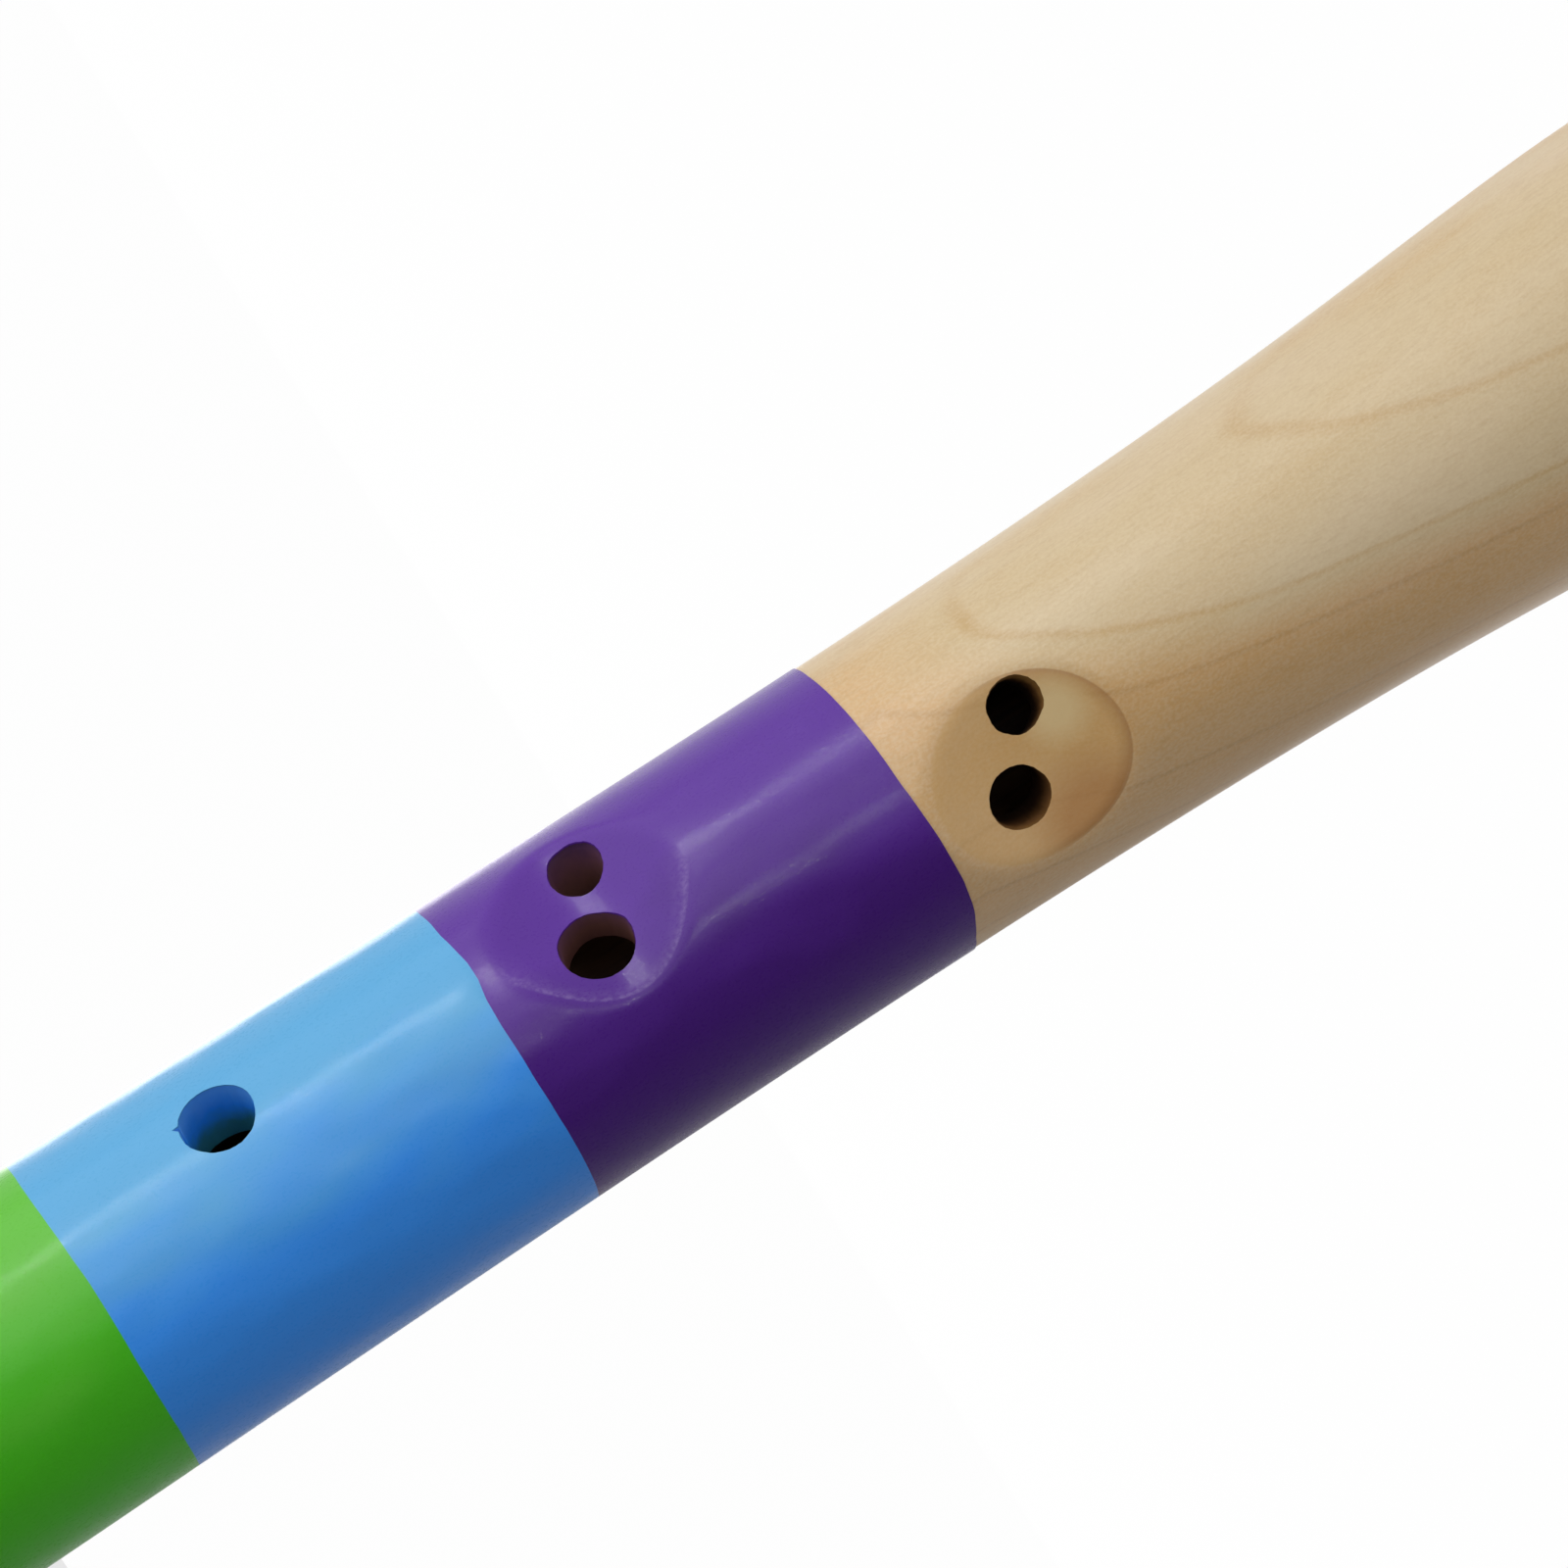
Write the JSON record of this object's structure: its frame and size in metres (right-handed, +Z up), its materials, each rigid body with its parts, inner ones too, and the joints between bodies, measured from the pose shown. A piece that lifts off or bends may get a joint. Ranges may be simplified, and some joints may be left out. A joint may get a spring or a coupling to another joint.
{
  "type": "recorder",
  "caption": "Soprano recorder in turned maple with coloured lacquer bands, double finger holes in sanded dishes, a cork-ringed tenon and a whistle head that turns and pulls off.",
  "frame": {"origin": "centre of the foot's end face, on the bore's axis", "axes": "+Z up the bore from the foot to the mouthpiece; -Y the way the finger holes and window face; +Y the thumb hole's side; -X the player's right"},
  "size_m": [0.0268, 0.0268, 0.328],
  "materials": {
    "maple_body": "turned maple, oiled and rubbed to a satin",
    "maple_head": "turned maple, oiled and rubbed to a satin",
    "cedar": "planed cedar, bare",
    "cork": "sheet cork, sanded and greased",
    "lacquer_purple": "sprayed purple lacquer on wood, semi-gloss",
    "lacquer_blue": "sprayed blue lacquer on wood, semi-gloss",
    "lacquer_green": "sprayed green lacquer on wood, semi-gloss",
    "lacquer_yellow": "sprayed yellow lacquer on wood, semi-gloss",
    "lacquer_orange": "sprayed orange lacquer on wood, semi-gloss",
    "lacquer_red": "sprayed red lacquer on wood, semi-gloss"
  },
  "bodies": {
    "body": {"body_joint": "maple_body", "lacquer_purple": "lacquer_purple", "lacquer_blue": "lacquer_blue", "lacquer_green": "lacquer_green", "lacquer_yellow": "lacquer_yellow", "lacquer_orange": "lacquer_orange", "lacquer_red": "lacquer_red"},
    "cork": {"tenon_cork": "cork"},
    "head": {"head_joint": "maple_head", "block": "cedar"}
  },
  "joints": [
    {"name": "head_turn", "type": "hinge", "parent": "body", "child": "cork", "pos_m": [0, 0, 0.235], "axis": [0, 0, 1], "continuous": true},
    {"name": "head_slide", "type": "slide", "parent": "cork", "child": "head", "axis": [0, 0, 1], "range_m": [0, 0.02]}
  ]
}
